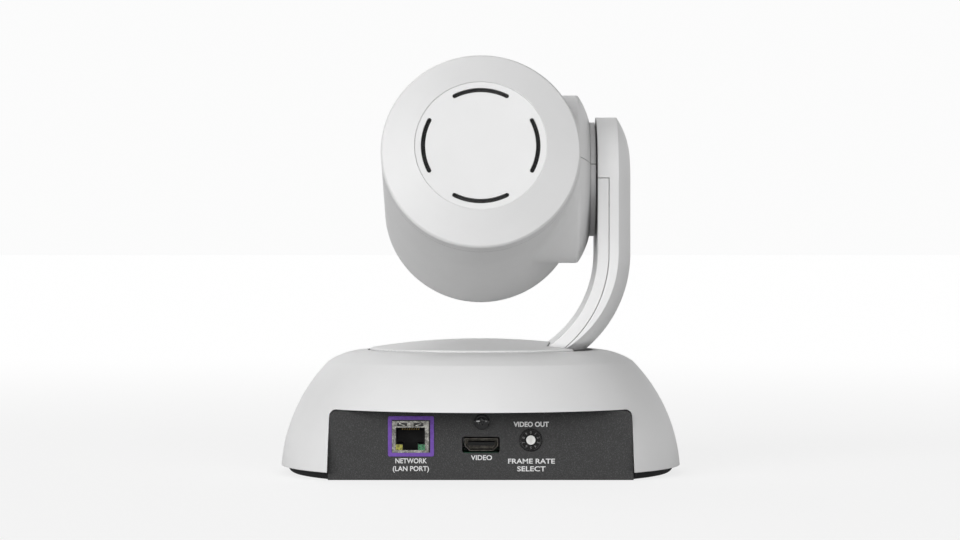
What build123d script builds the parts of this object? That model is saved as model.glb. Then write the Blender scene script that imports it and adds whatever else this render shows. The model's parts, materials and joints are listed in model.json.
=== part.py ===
from build123d import *
import os
from math import acos, cos, pi, radians, sin, sqrt, tan

# PTZ camera: a domed base that holds the pan drive and the connectors, a turret that turns on it
# about the vertical, a curved single arm, and a barrel-shaped camera head that tilts on the arm.
# Frame: millimetres, +Z up, origin on the pan axis at the underside. The lens looks to -Y,
# the connector panel faces +Y and the arm stands on the -X side.
# "u" below is the distance from the pan axis toward the arm, so u = -X.

# ---------------------------------------------------------------- driving dimensions
WALL = 2.0                     # moulded shell wall
PARTING = 0.24                 # gap at a parting line
RUN = 0.05                     # radial running clearance
BEYOND = 200.0                 # length of a cutting block that reaches past everything

# screws: head radius, head height, shank radius
PANEL_SCREW = (3.3, 1.6, 1.45)
BASE_SCREW = (3.0, 1.2, 1.25)
SMALL_SCREW = (2.6, 1.5, 1.25)
PILOT_R = 1.3                  # hole that a thread-forming screw bites into
CLEAR_R = 1.6                  # hole that a small screw passes through

# base
TRAY_BOTTOM = 0.2
TRAY_TOP = 3.6
TRAY_R = 87.3
TRAY_EDGE_R = 3.0
TRAY_CUT_Y = 54.3              # the tray stops just ahead of the connector panel
SHELL_ARC_CENTRE = (16.2, -1.9)  # radius and height of the wall arc's centre
SHELL_ARC_R = 74.3
SHELL_WALL = 2.4
WALL_MID_Z = 28.0
CREASE_Z = 50.4
CREASE_IN_Z = 48.2             # the crease on the inner face
SHOULDER = (61.2, 54.1)        # (radius, z) half way along the shoulder above the crease
SHOULDER_IN = (60.6, 51.9)
LIP_R = 51.2                   # opening that the turret turns in
LIP_TOP = 55.5
LIP_T = 2.2
RECESS_TOP = 30.8
RECESS_HALF_TOP = 66.2
RECESS_HALF_BOTTOM = 67.1
RECESS_CORNER_R = 3.0
RECESS_Y = 45.0                # the recess is cut from here to the rear
PANEL_Y = 56.0                 # outer face of the connector panel
PANEL_T = 1.5
PANEL_BOTTOM = 0.1
PANEL_EDGE_Z = 30.4            # top of the visible face
PANEL_GAP = 0.3                # between the face and the sides of the recess
PANEL_TOP = 38.5               # top of the hidden flange
FLANGE_T = 1.4
FLANGE_SIZE = (116.0, 10.6)    # foot flange of the panel
FLANGE_Y = 49.2
WINDOW_SIZE = (24.0, 10.0)     # status window at the front
WINDOW_Z = 19.0
WINDOW_CORNER_R = 2.5
POSTS = [(56.0, -36.0), (-56.0, -36.0), (60.0, 28.0), (-60.0, 28.0)]
POST_R = 4.0
POST_H = 43.0
POST_BORE = 14.0
FEET = [(50.0, -50.0), (-50.0, -50.0), (50.0, 40.0), (-50.0, 40.0)]
FOOT_R = 8.0
FOOT_T = 2.2
BRACKET_PCD = 60.0
BRACKET_HOLE_R = 1.65
TRIPOD_R = 2.55                # 1/4-20 thread, minor radius
INSERT_R = 4.7
INSERT_LENGTH = 9.0
INSERT_FLANGE_R = 7.9
INSERT_FLANGE_T = 1.2

# connectors on the panel: centre (u, z)
JACK = (-30.7, 19.0)
JACK_W = 16.0
JACK_H = 13.8
JACK_FRONT = PANEL_Y + 0.7
JACK_DEPTH = 21.0
JACK_BACK = JACK_FRONT - JACK_DEPTH
SHIELD_T = 0.3
SHIELD_MOUTH = (12.8, 9.9)
SHIELD_MOUTH_DROP = 0.85       # the mouth's centre lies this far below the jack's
PLUG_SIZE = (11.8, 6.8)        # opening for the plug
PLUG_RISE = 0.4
LATCH_SIZE = (6.2, 4.4)        # opening for the plug's latch
LATCH_DROP = 4.2
PLUG_DEPTH = 14.0
CONTACT_PITCH = 1.02
CONTACT_SIZE = (0.35, 0.7)
CONTACT_RISE = 3.3
CONTACT_LENGTH = 10.0
LAMP_W = 3.0
LAMP_H = 2.6
LAMP_OFFSET = (4.9, -4.6)
LAMP_DEPTH = 6.0
LAMPS = [(JACK[0] + side * LAMP_OFFSET[0], JACK[1] + LAMP_OFFSET[1]) for side in (-1, 1)]
PORT_FRAME = (-30.45, 19.25)
PORT_FRAME_OUTER = (20.1, 17.6)
PORT_FRAME_INNER = (16.8, 14.3)
PORT_FRAME_T = 0.45
VIDEO = (0.3, 15.65)
VIDEO_W = 14.6
VIDEO_H = 5.5
VIDEO_CHAMFER = 2.2            # the mouth's lower corners
VIDEO_WALL = 0.4
VIDEO_DEPTH = 10.8
VIDEO_CUT = (16.4, 7.1)        # opening in the panel
TONGUE_SIZE = (11.6, 1.5)
DIAL = (21.9, 17.6)
DIAL_R = 2.0
DIAL_SLOT = (0.7, 3.2)
SWITCH_SIZE = 10.0
SWITCH_BODY_BACK = 8.5         # behind the panel's face
SWITCH_BODY_FRONT = 1.7
SWITCH_RING_R = 4.6
SWITCH_RING_PROUD = 0.4
PANEL_SCREWS = [(0.5, 25.5), (29.0, 31.6), (-29.0, 31.6)]

# board that carries the connectors
BOARD_BOTTOM = 10.4
BOARD_TOP = 12.0
BOARD_HALF_W = 53.0
BOARD_Y = (20.0, 52.5)
CHIP_T = 1.0
HEATSINK = (-34.0, 32.0)
HEATSINK_SIZE = 18.0
HEATSINK_BASE = 2.5
FIN_H = 7.0
FIN_T = 1.0
FIN_PITCH = 3.2
STANDOFF_R = 3.0
STANDOFFS = [(49.0, 24.0), (-49.0, 24.0), (49.0, 46.0), (-49.0, 46.0)]

# pan drive
GEAR_ANGLE = radians(25)       # pressure angle
PAN_MODULE = 1.25
PAN_TEETH = 56
PAN_PINION_TEETH = 12
PAN_CENTRES = PAN_MODULE * (PAN_TEETH + PAN_PINION_TEETH) / 2
PAN_GEAR_Z = 25.0
PAN_GEAR_H = 5.0
PAN_SHAFT_R = 10.0
CABLE_R = 6.5                  # cable way through the pan shaft and the turret plate
SHAFT_BOTTOM = 11.0
SHAFT_FLANGE_R = 17.0
SHAFT_FLANGE_T = 2.5
BUSH_R = 12.6
BUSH_BOTTOM = 9.2
BUSH_FLANGE_Z = 22.0
BUSH_FLANGE_T = 2.7
HOUSING_R = 16.0
HOUSING_FOOT_R = 24.0
HOUSING_FOOT_T = 3.0
HOUSING_BOLT_R = 20.0
PAN_MOTOR_R = 17.5
PAN_MOTOR_Z = 5.0
PAN_MOTOR_H = 15.6
BOSS_R = 5.0                   # register round the motor's shaft
MOTOR_SHAFT_R = 2.0
BRACKET_T = 1.5
BRACKET_W = 20.0
BRACKET_HALF = 26.0
BRACKET_TAB = 8.1

# turret
TURRET_R = 50.2
TURRET_TOP = 60.4
TURRET_CROWN_R = 314.0
TURRET_SKIRT = 53.4
TURRET_EDGE = 0.8              # width of the cover's rounded edge
PLATE_R = 46.0
PLATE_Z = 48.5
PLATE_T = 3.0
COVER_POST_R = 3.2

# tilt axis and head
TILT_Z = 132.7
TILT_REST = 14.0               # the head rests with its lens this many degrees below level
ARM_IN = 52.2
ARM_OUT = 67.6
ARM_CREASE = 61.5
ARM_HALF = 28.0                # half depth of the arm and radius of its round top
ARM_FLAT = 8.0                 # half width of the flat band on its outer face
ARM_BEND_Z = 99.0
ARM_OUT_BEND = 56.0
ARM_IN_BEND = 49.8
ARM_LIP = 5.0                  # width of the inner cover's side
ARM_FOOT_Z = 55.8
STRIP_IN = 48.0                # radii of the metal arm frame's bend, and its width
STRIP_OUT = 51.0
STRIP_W = 38.0
FRAME_FOOT = (32.0, 20.0)      # length and middle of the frame's foot
FRAME_DISC_R = 19.0
FRAME_HUB_R = 13.0
HUB_R = 24.4                   # thin spacer between the collar and the arm
BARREL_FRONT_R = 45.0
BARREL_REAR_R = 44.0
BARREL_FRONT = -51.5
BARREL_REAR = 40.0
CAP_EDGE = 48.0
CAP_FACE = 56.7
CAP_FACE_R = 29.0
DRUM_R = 38.0
DRUM_EDGE = 43.9
DRUM_MID = (47.1, 32.2)        # (u, radius) half way along the drum's domed end
DRUM_END = 49.2
DRUM_CORNER_R = 1.5
COLLAR_R = 25.8                # collar between the drum and the arm
COLLAR_END = 51.5
BLEND_R = 4.0                  # fillet where the drum runs into the barrel

# tilt drive
TILT_MODULE = 1.0
TILT_TEETH = 32
TILT_PINION_TEETH = 12
TILT_CENTRES = TILT_MODULE * (TILT_TEETH + TILT_PINION_TEETH) / 2
TILT_SHAFT_R = 8.0
TILT_CABLE_R = 4.5
TILT_SHAFT_END = 27.0
TILT_GEAR_U = 41.0
TILT_GEAR_W = 5.0
TILT_BUSH_R = 11.0
TILT_HOUSING_R = 14.0
TILT_HOUSING = (25.0, 40.0)    # u at its two ends
TILT_MOTOR_R = 7.5
TILT_MOTOR = (28.0, 39.5)
TILT_MOTOR_SHAFT_R = 1.5

# optics
LENS_R = 22.0
LENS_BORE = 19.5
LENS_FRONT = -44.4
SENSOR_S = 18.0
STOP_R = 15.5                  # fixed stop in the lens barrel
STOP_S = -34.0
STOP_T = 2.0
ROD_R = 1.0
ROD_OFFSET = 17.1

REAR = Vector(0, cos(radians(TILT_REST)), sin(radians(TILT_REST)))
HEAD_UP = Vector(0, -sin(radians(TILT_REST)), cos(radians(TILT_REST)))
TILT_CENTRE = Vector(0, 0, TILT_Z)
HEAD_AXIS = Axis(TILT_CENTRE, REAR)
TILT_AXIS = Axis(TILT_CENTRE, (-1, 0, 0))


# ---------------------------------------------------------------- planes and shared shapes
def rear_plane(y):
    """Plane facing the rear at depth y: sketch x is u, sketch y is height."""
    return Plane(origin=(0, y, 0), x_dir=(-1, 0, 0), z_dir=(0, 1, 0))


FRONT_PLANE = Plane.XZ.offset(BEYOND / 4)  # stands inside the base, ahead of its middle


def head_plane(s):
    """Plane square to the head's axis, s behind the tilt axis: sketch x is u, sketch y is up."""
    return Plane(origin=TILT_CENTRE + REAR * s, x_dir=(-1, 0, 0), z_dir=REAR)


def side_plane(u):
    """Plane square to the tilt axis at u: sketch x points to the lens, sketch y is up."""
    return Plane(origin=TILT_CENTRE + Vector(-u, 0, 0), x_dir=-REAR, z_dir=(-1, 0, 0))


HEAD_PROFILE = Plane(origin=TILT_CENTRE, x_dir=REAR, z_dir=(1, 0, 0))     # (s, radius)
TILT_PROFILE = Plane(origin=TILT_CENTRE, x_dir=(-1, 0, 0), z_dir=REAR)    # (u, radius)


def wall_r(z, inset=0.0):
    """Radius of the base shell's wall arc at height z."""
    return SHELL_ARC_CENTRE[0] + sqrt((SHELL_ARC_R - inset) ** 2 - (z - SHELL_ARC_CENTRE[1]) ** 2)


def gear_points(module, teeth, phase, backlash=0.16, steps=4):
    """Outline of an involute gear whose first tooth points at the angle phase, in degrees."""
    pitch = module * teeth / 2
    base = pitch * cos(GEAR_ANGLE)
    root = pitch - 1.2 * module
    tip = pitch + module
    half_pitch = (pi * module / 2 - backlash / 2) / (2 * pitch)
    at_base = half_pitch + tan(GEAR_ANGLE) - GEAR_ANGLE
    low = max(base, root)
    flank = [(root, at_base)] if root < base else []
    for k in range(steps + 1):
        r = low + (tip - low) * k / steps
        roll = acos(min(1.0, base / r))
        flank.append((r, at_base - tan(roll) + roll))
    points = []
    for tooth in range(teeth):
        middle = radians(phase) + 2 * pi * tooth / teeth
        side = [(r, middle - half) for r, half in flank]
        side += [(r, middle + half) for r, half in reversed(flank)]
        points += [(r * cos(a), r * sin(a)) for r, a in side]
    return points


def screw_group(name, places, plane, size, shank_l):
    """Cross-recess pan-head screws whose heads stand on the plane."""
    head_r, head_h, shank_r = size
    with BuildPart() as group:
        with BuildSketch(plane):
            with Locations(*places):
                Circle(head_r)
        extrude(amount=head_h)
        chamfer(group.faces().sort_by(Axis(plane.origin, plane.z_dir))[-1].edges(), head_h * 0.3)
        with BuildSketch(plane.offset(head_h)):
            with Locations(*places):
                Rectangle(head_r * 1.1, head_r * 0.26)
                Rectangle(head_r * 0.26, head_r * 1.1)
        extrude(amount=-head_h * 0.6, mode=Mode.SUBTRACT)
        with BuildSketch(plane):
            with Locations(*places):
                Circle(shank_r)
        extrude(amount=-shank_l)
    group.part.label = name
    return group


def downward(z):
    """Level plane that faces down at height z: sketch x is x and sketch y is -y."""
    return Plane(origin=(0, 0, z), x_dir=(1, 0, 0), z_dir=(0, 0, -1))


def half_side(sign):
    """A large block above (sign 1) or below (sign -1) the head's parting plane."""
    with BuildPart() as block:
        with BuildSketch(head_plane(-BEYOND / 2)):
            with Locations((0, sign * (BEYOND + PARTING) / 2)):
                Rectangle(BEYOND, BEYOND)
        extrude(amount=BEYOND)
    return block.part


# ---------------------------------------------------------------- base
with BuildPart() as base_shell:
    with BuildSketch(Plane.XZ):
        with BuildLine():
            crease = (wall_r(CREASE_Z), CREASE_Z)
            crease_in = (wall_r(CREASE_IN_Z, SHELL_WALL), CREASE_IN_Z)
            lip_in = (LIP_R, LIP_TOP - LIP_T)
            foot = (wall_r(TRAY_TOP), TRAY_TOP)
            foot_in = (wall_r(TRAY_TOP, SHELL_WALL), TRAY_TOP)
            ThreePointArc(foot, (wall_r(WALL_MID_Z), WALL_MID_Z), crease)
            ThreePointArc(crease, SHOULDER, (LIP_R, LIP_TOP))
            Line((LIP_R, LIP_TOP), lip_in)
            ThreePointArc(lip_in, SHOULDER_IN, crease_in)
            ThreePointArc(crease_in, (wall_r(WALL_MID_Z, SHELL_WALL), WALL_MID_Z), foot_in)
            Line(foot_in, foot)
        make_face()
    revolve(axis=Axis.Z)
    with BuildSketch(Plane.XY.offset(TRAY_TOP)):
        with Locations(*POSTS):
            Circle(POST_R)
    extrude(amount=POST_H)
    with BuildSketch(Plane.XY.offset(TRAY_TOP)):
        with Locations(*POSTS):
            Circle(PILOT_R)
    extrude(amount=POST_BORE, mode=Mode.SUBTRACT)
    with BuildSketch(rear_plane(RECESS_Y)) as recess:
        with BuildLine():
            Polyline((-RECESS_HALF_BOTTOM, 0), (-RECESS_HALF_TOP, RECESS_TOP),
                     (RECESS_HALF_TOP, RECESS_TOP), (RECESS_HALF_BOTTOM, 0), close=True)
        make_face()
        fillet(recess.vertices().group_by(Axis.Y)[-1], RECESS_CORNER_R)
    extrude(amount=BEYOND, mode=Mode.SUBTRACT)
    with BuildSketch(FRONT_PLANE):
        with Locations((0, WINDOW_Z)):
            RectangleRounded(*WINDOW_SIZE, WINDOW_CORNER_R)
    extrude(amount=BEYOND, mode=Mode.SUBTRACT)
base_shell.part.label = "base_shell"

with BuildPart() as status_window:
    with BuildSketch(Plane.XZ):
        with BuildLine():
            low, high = WINDOW_Z - WINDOW_SIZE[1], WINDOW_Z + WINDOW_SIZE[1]
            outer = [(wall_r(z), z) for z in (low, WINDOW_Z, high)]
            inner = [(wall_r(z, SHELL_WALL), z) for z in (high, WINDOW_Z, low)]
            ThreePointArc(*outer)
            Line(outer[-1], inner[0])
            ThreePointArc(*inner)
            Line(inner[-1], outer[0])
        make_face()
    revolve(axis=Axis.Z)
    with BuildSketch(FRONT_PLANE):
        with Locations((0, WINDOW_Z)):
            RectangleRounded(*WINDOW_SIZE, WINDOW_CORNER_R)
    extrude(amount=BEYOND, mode=Mode.INTERSECT)
status_window.part.label = "status_window"

with BuildPart() as base_plate:
    with BuildSketch(Plane.XZ):
        with BuildLine():
            Line((0, TRAY_BOTTOM), (TRAY_R - TRAY_EDGE_R, TRAY_BOTTOM))
            RadiusArc((TRAY_R - TRAY_EDGE_R, TRAY_BOTTOM), (TRAY_R, TRAY_TOP), -TRAY_EDGE_R - 0.4)
            Line((TRAY_R, TRAY_TOP), (0, TRAY_TOP))
            Line((0, TRAY_TOP), (0, TRAY_BOTTOM))
        make_face()
    revolve(axis=Axis.Z)
    with BuildSketch(Plane.XY):
        with Locations((0, TRAY_CUT_Y + BEYOND / 2)):
            Rectangle(BEYOND, BEYOND)
        with Locations(*POSTS):
            Circle(CLEAR_R)
        with PolarLocations(BRACKET_PCD / 2, 4, 45):
            Circle(BRACKET_HOLE_R)
        Circle(INSERT_R + RUN)
    extrude(amount=TRAY_TOP, mode=Mode.SUBTRACT)
    with BuildSketch(Plane.XY):
        with Locations(*POSTS):
            Circle(BASE_SCREW[0] + 0.3)
        with Locations(*FEET):
            Circle(FOOT_R)
    extrude(amount=FOOT_T, mode=Mode.SUBTRACT)
    with BuildSketch(Plane.XY):
        Circle(INSERT_FLANGE_R + 0.1)
    extrude(amount=INSERT_FLANGE_T, mode=Mode.SUBTRACT)
base_plate.part.label = "base_plate"

with BuildPart() as rubber_feet:
    with BuildSketch(Plane.XY):
        with Locations(*FEET):
            Circle(FOOT_R)
    extrude(amount=FOOT_T)
    chamfer(rubber_feet.edges().group_by(Axis.Z)[0], 0.5)
rubber_feet.part.label = "rubber_feet"

base_screws = screw_group("base_screws", [(x, -y) for x, y in POSTS], downward(FOOT_T), BASE_SCREW, 12.0)

with BuildPart() as tripod_insert:
    with BuildSketch(Plane.XY):
        Circle(INSERT_FLANGE_R)
    extrude(amount=INSERT_FLANGE_T)
    with BuildSketch(Plane.XY):
        Circle(INSERT_R)
    extrude(amount=INSERT_LENGTH)
    with BuildSketch(Plane.XY):
        Circle(TRIPOD_R)
    extrude(amount=INSERT_LENGTH, mode=Mode.SUBTRACT)
tripod_insert.part.label = "tripod_insert"

# ---------------------------------------------------------------- connector panel
with BuildPart() as connector_panel:
    with BuildSketch(rear_plane(PANEL_Y - PANEL_T)) as face:
        with BuildLine():
            low = RECESS_HALF_BOTTOM - PANEL_GAP
            high = RECESS_HALF_TOP - PANEL_GAP
            Polyline((-low, PANEL_BOTTOM), (-high, PANEL_EDGE_Z), (high, PANEL_EDGE_Z),
                     (low, PANEL_BOTTOM), close=True)
        make_face()
        fillet(face.vertices().group_by(Axis.Y)[-1], RECESS_CORNER_R)
        with Locations((0, (PANEL_TOP + PANEL_EDGE_Z) / 2 - RECESS_CORNER_R)):
            Rectangle(100, PANEL_TOP - PANEL_EDGE_Z + 2 * RECESS_CORNER_R)
        with Locations(JACK):
            Rectangle(JACK_W + 0.4, JACK_H + 0.4, mode=Mode.SUBTRACT)
        with Locations((VIDEO[0] - 0.2, VIDEO[1] - 0.15)):
            RectangleRounded(*VIDEO_CUT, 1.2, mode=Mode.SUBTRACT)
        with Locations(DIAL):
            Circle(SWITCH_RING_R + 0.15, mode=Mode.SUBTRACT)
        with Locations(*PANEL_SCREWS):
            Circle(CLEAR_R, mode=Mode.SUBTRACT)
    extrude(amount=PANEL_T)
    with BuildSketch(Plane.XY.offset(TRAY_TOP)):
        with Locations((0, FLANGE_Y)):
            Rectangle(*FLANGE_SIZE)
    extrude(amount=FLANGE_T)
connector_panel.part.label = "connector_panel"

with BuildPart() as port_frame:
    with BuildSketch(rear_plane(PANEL_Y)):
        with Locations(PORT_FRAME):
            RectangleRounded(*PORT_FRAME_OUTER, 0.8)
            Rectangle(*PORT_FRAME_INNER, mode=Mode.SUBTRACT)
    extrude(amount=PORT_FRAME_T)
port_frame.part.label = "port_frame"

panel_screws = screw_group("panel_screws", PANEL_SCREWS, rear_plane(PANEL_Y), PANEL_SCREW, 6.0)

# network jack: metal shield, moulded insert, contacts and two indicator lamps
with BuildPart() as network_jack_shield:
    with BuildSketch(rear_plane(JACK_BACK)):
        with Locations(JACK):
            Rectangle(JACK_W, JACK_H)
            Rectangle(JACK_W - 2 * SHIELD_T, JACK_H - 2 * SHIELD_T, mode=Mode.SUBTRACT)
    extrude(amount=JACK_DEPTH)
    with BuildSketch(rear_plane(JACK_FRONT - SHIELD_T)):
        with Locations(JACK):
            Rectangle(JACK_W, JACK_H)
        with Locations((JACK[0], JACK[1] - SHIELD_MOUTH_DROP)):
            Rectangle(*SHIELD_MOUTH, mode=Mode.SUBTRACT)
    extrude(amount=SHIELD_T)
network_jack_shield.part.label = "network_jack_shield"

with BuildPart() as network_jack_insert:
    with BuildSketch(rear_plane(JACK_BACK)):
        with Locations(JACK):
            Rectangle(JACK_W - 2 * SHIELD_T - 0.1, JACK_H - 2 * SHIELD_T - 0.1)
    extrude(amount=JACK_DEPTH - SHIELD_T - 0.1)
    with BuildSketch(rear_plane(JACK_FRONT)):
        with Locations((JACK[0], JACK[1] + PLUG_RISE)):
            Rectangle(*PLUG_SIZE)
        with Locations((JACK[0], JACK[1] - LATCH_DROP)):
            Rectangle(*LATCH_SIZE)
    extrude(amount=-PLUG_DEPTH, mode=Mode.SUBTRACT)
    with BuildSketch(rear_plane(JACK_FRONT)):
        with Locations(*LAMPS):
            Rectangle(LAMP_W, LAMP_H)
    extrude(amount=-LAMP_DEPTH, mode=Mode.SUBTRACT)
network_jack_insert.part.label = "network_jack_insert"

with BuildPart() as network_jack_contacts:
    with BuildSketch(rear_plane(JACK_FRONT - PLUG_DEPTH + 1.0)):
        with Locations((JACK[0], JACK[1] + CONTACT_RISE)):
            with GridLocations(CONTACT_PITCH, 1, 8, 1):
                Rectangle(*CONTACT_SIZE)
    extrude(amount=CONTACT_LENGTH)
network_jack_contacts.part.label = "network_jack_contacts"


def light_pipe(name, place):
    """One indicator lamp of the network jack."""
    with BuildPart() as lamp:
        with BuildSketch(rear_plane(JACK_FRONT - LAMP_DEPTH)):
            with Locations(place):
                Rectangle(LAMP_W, LAMP_H)
        extrude(amount=LAMP_DEPTH - 0.2)
    lamp.part.label = name
    return lamp


activity_lamp = light_pipe("activity_lamp", LAMPS[0])
link_lamp = light_pipe("link_lamp", LAMPS[1])


def socket_outline(wall):
    """The video socket's outline in the current sketch, drawn in by the wall."""
    with BuildSketch(mode=Mode.PRIVATE) as outline:
        with Locations(VIDEO):
            Rectangle(VIDEO_W, VIDEO_H)
        chamfer(outline.vertices().group_by(Axis.Y)[0], VIDEO_CHAMFER)
        if wall:
            offset(amount=-wall, kind=Kind.INTERSECTION)
    return outline.sketch


with BuildPart() as video_socket_shell:
    with BuildSketch(rear_plane(PANEL_Y - VIDEO_DEPTH)):
        add(socket_outline(0))
    extrude(amount=VIDEO_DEPTH + VIDEO_WALL)
    with BuildSketch(rear_plane(PANEL_Y - VIDEO_DEPTH + VIDEO_WALL)):
        add(socket_outline(VIDEO_WALL))
    extrude(amount=VIDEO_DEPTH, mode=Mode.SUBTRACT)
video_socket_shell.part.label = "video_socket_shell"

with BuildPart() as video_socket_tongue:
    with BuildSketch(rear_plane(PANEL_Y - VIDEO_DEPTH + VIDEO_WALL)):
        with Locations((VIDEO[0], VIDEO[1] + 0.25)):
            Rectangle(*TONGUE_SIZE)
    extrude(amount=VIDEO_DEPTH - VIDEO_WALL - 1.0)
video_socket_tongue.part.label = "video_socket_tongue"

with BuildPart() as mode_switch_body:
    with BuildSketch(rear_plane(PANEL_Y - SWITCH_BODY_BACK)):
        with Locations(DIAL):
            Rectangle(SWITCH_SIZE, SWITCH_SIZE)
    extrude(amount=SWITCH_BODY_BACK - SWITCH_BODY_FRONT)
    with BuildSketch(rear_plane(PANEL_Y - SWITCH_BODY_FRONT)):
        with Locations(DIAL):
            Circle(SWITCH_RING_R)
    extrude(amount=SWITCH_BODY_FRONT + SWITCH_RING_PROUD)
    with BuildSketch(rear_plane(PANEL_Y + SWITCH_RING_PROUD)):
        with Locations(DIAL):
            Circle(DIAL_R + RUN)
    extrude(amount=-3.6, mode=Mode.SUBTRACT)
mode_switch_body.part.label = "mode_switch_body"

with BuildPart() as mode_dial:
    with BuildSketch(rear_plane(PANEL_Y - 3.1)):
        with Locations(DIAL):
            Circle(DIAL_R)
    extrude(amount=3.6)
    with BuildSketch(rear_plane(PANEL_Y + 0.5)):
        with Locations(DIAL):
            Rectangle(*DIAL_SLOT)
    extrude(amount=-0.8, mode=Mode.SUBTRACT)
mode_dial.part.label = "mode_dial"

with BuildPart() as main_board:
    with BuildSketch(Plane.XY.offset(BOARD_BOTTOM)):
        with Locations((0, sum(BOARD_Y) / 2)):
            RectangleRounded(2 * BOARD_HALF_W, BOARD_Y[1] - BOARD_Y[0], 2.0)
        with Locations(*STANDOFFS):
            Circle(1.5, mode=Mode.SUBTRACT)
    extrude(amount=BOARD_TOP - BOARD_BOTTOM)
    with BuildSketch(Plane.XY.offset(BOARD_TOP)):
        with Locations((-8, 32), (-18, 44)):
            Rectangle(7, 5)
        with Locations((12, 38)):
            Rectangle(4, 9)
    extrude(amount=CHIP_T)
main_board.part.label = "main_board"

with BuildPart() as processor_heatsink:
    with BuildSketch(Plane.XY.offset(BOARD_TOP)):
        with Locations(HEATSINK):
            Rectangle(HEATSINK_SIZE, HEATSINK_SIZE)
    extrude(amount=HEATSINK_BASE)
    with BuildSketch(Plane.XY.offset(BOARD_TOP + HEATSINK_BASE)):
        with Locations(HEATSINK):
            with GridLocations(FIN_PITCH, 1, 6, 1):
                Rectangle(FIN_T, HEATSINK_SIZE)
    extrude(amount=FIN_H)
processor_heatsink.part.label = "processor_heatsink"

with BuildPart() as board_standoffs:
    for places, bottom in ((STANDOFFS[:2], TRAY_TOP), (STANDOFFS[2:], TRAY_TOP + FLANGE_T)):
        with BuildSketch(Plane.XY.offset(bottom)):
            with Locations(*places):
                Circle(STANDOFF_R)
                Circle(PILOT_R, mode=Mode.SUBTRACT)
        extrude(amount=BOARD_BOTTOM - bottom)
board_standoffs.part.label = "board_standoffs"

board_screws = screw_group("board_screws", STANDOFFS, Plane.XY.offset(BOARD_TOP), SMALL_SCREW, 4.0)

# ---------------------------------------------------------------- pan drive
HOUSING_BOLTS = [(HOUSING_BOLT_R, 0), (0, HOUSING_BOLT_R), (-HOUSING_BOLT_R, 0), (0, -HOUSING_BOLT_R)]
with BuildPart() as bearing_housing:
    with BuildSketch(Plane.XY.offset(TRAY_TOP)):
        Circle(HOUSING_FOOT_R)
        Circle(INSERT_R + 0.5, mode=Mode.SUBTRACT)
        with Locations(*HOUSING_BOLTS):
            Circle(CLEAR_R, mode=Mode.SUBTRACT)
    extrude(amount=HOUSING_FOOT_T)
    with BuildSketch(Plane.XY.offset(TRAY_TOP + HOUSING_FOOT_T)):
        Circle(HOUSING_R)
        Circle(BUSH_R, mode=Mode.SUBTRACT)
    extrude(amount=BUSH_FLANGE_Z - TRAY_TOP - HOUSING_FOOT_T)
bearing_housing.part.label = "bearing_housing"

housing_screws = screw_group("housing_screws", HOUSING_BOLTS,
                             Plane.XY.offset(TRAY_TOP + HOUSING_FOOT_T), SMALL_SCREW, 2.9)
with BuildPart() as chassis_screws:
    add(board_screws.part)
    add(housing_screws.part)
chassis_screws.part.label = "chassis_screws"

with BuildPart() as pan_bush:
    with BuildSketch(Plane.XY.offset(BUSH_BOTTOM)):
        Circle(BUSH_R)
    extrude(amount=BUSH_FLANGE_Z - BUSH_BOTTOM)
    with BuildSketch(Plane.XY.offset(BUSH_FLANGE_Z)):
        Circle(HOUSING_R)
    extrude(amount=BUSH_FLANGE_T)
    with BuildSketch(Plane.XY.offset(BUSH_BOTTOM)):
        Circle(PAN_SHAFT_R + RUN)
    extrude(amount=BUSH_FLANGE_Z + BUSH_FLANGE_T - BUSH_BOTTOM, mode=Mode.SUBTRACT)
pan_bush.part.label = "pan_bush"

with BuildPart() as pan_shaft:
    with BuildSketch(Plane.XY.offset(SHAFT_BOTTOM)):
        Circle(PAN_SHAFT_R)
    extrude(amount=PLATE_Z - SHAFT_BOTTOM)
    with BuildSketch(Plane.XY.offset(PLATE_Z - SHAFT_FLANGE_T)):
        Circle(SHAFT_FLANGE_R)
    extrude(amount=SHAFT_FLANGE_T)
    with BuildSketch(Plane.XY.offset(SHAFT_BOTTOM)):
        Circle(CABLE_R)
    extrude(amount=PLATE_Z - SHAFT_BOTTOM, mode=Mode.SUBTRACT)
pan_shaft.part.label = "pan_shaft"

with BuildPart() as pan_gear:
    with BuildSketch(Plane.XY.offset(PAN_GEAR_Z)):
        with BuildLine():
            Polyline(*gear_points(PAN_MODULE, PAN_TEETH, -90), close=True)
        make_face()
        Circle(PAN_SHAFT_R, mode=Mode.SUBTRACT)
        with PolarLocations(22.0, 6, 0):
            Circle(6.0, mode=Mode.SUBTRACT)
    extrude(amount=PAN_GEAR_H)
pan_gear.part.label = "pan_gear"

PAN_MOTOR = (0, -PAN_CENTRES)
PAN_MOTOR_TOP = PAN_MOTOR_Z + PAN_MOTOR_H
BOSS_TOP = PAN_MOTOR_TOP + 1.4
SHAFT_BORE = 12.0              # depth of the motor's shaft bore
with BuildPart() as pan_motor:
    with BuildSketch(Plane.XY.offset(PAN_MOTOR_Z)):
        with Locations(PAN_MOTOR):
            Circle(PAN_MOTOR_R)
    extrude(amount=PAN_MOTOR_H)
    chamfer(pan_motor.edges().group_by(Axis.Z)[-1] + pan_motor.edges().group_by(Axis.Z)[0], 0.8)
    with BuildSketch(Plane.XY.offset(PAN_MOTOR_TOP)):
        with Locations(PAN_MOTOR):
            Circle(BOSS_R)
    extrude(amount=BOSS_TOP - PAN_MOTOR_TOP)
    with BuildSketch(Plane.XY.offset(BOSS_TOP)):
        with Locations(PAN_MOTOR):
            Circle(MOTOR_SHAFT_R + RUN)
    extrude(amount=-SHAFT_BORE, mode=Mode.SUBTRACT)
pan_motor.part.label = "pan_motor"

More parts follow.
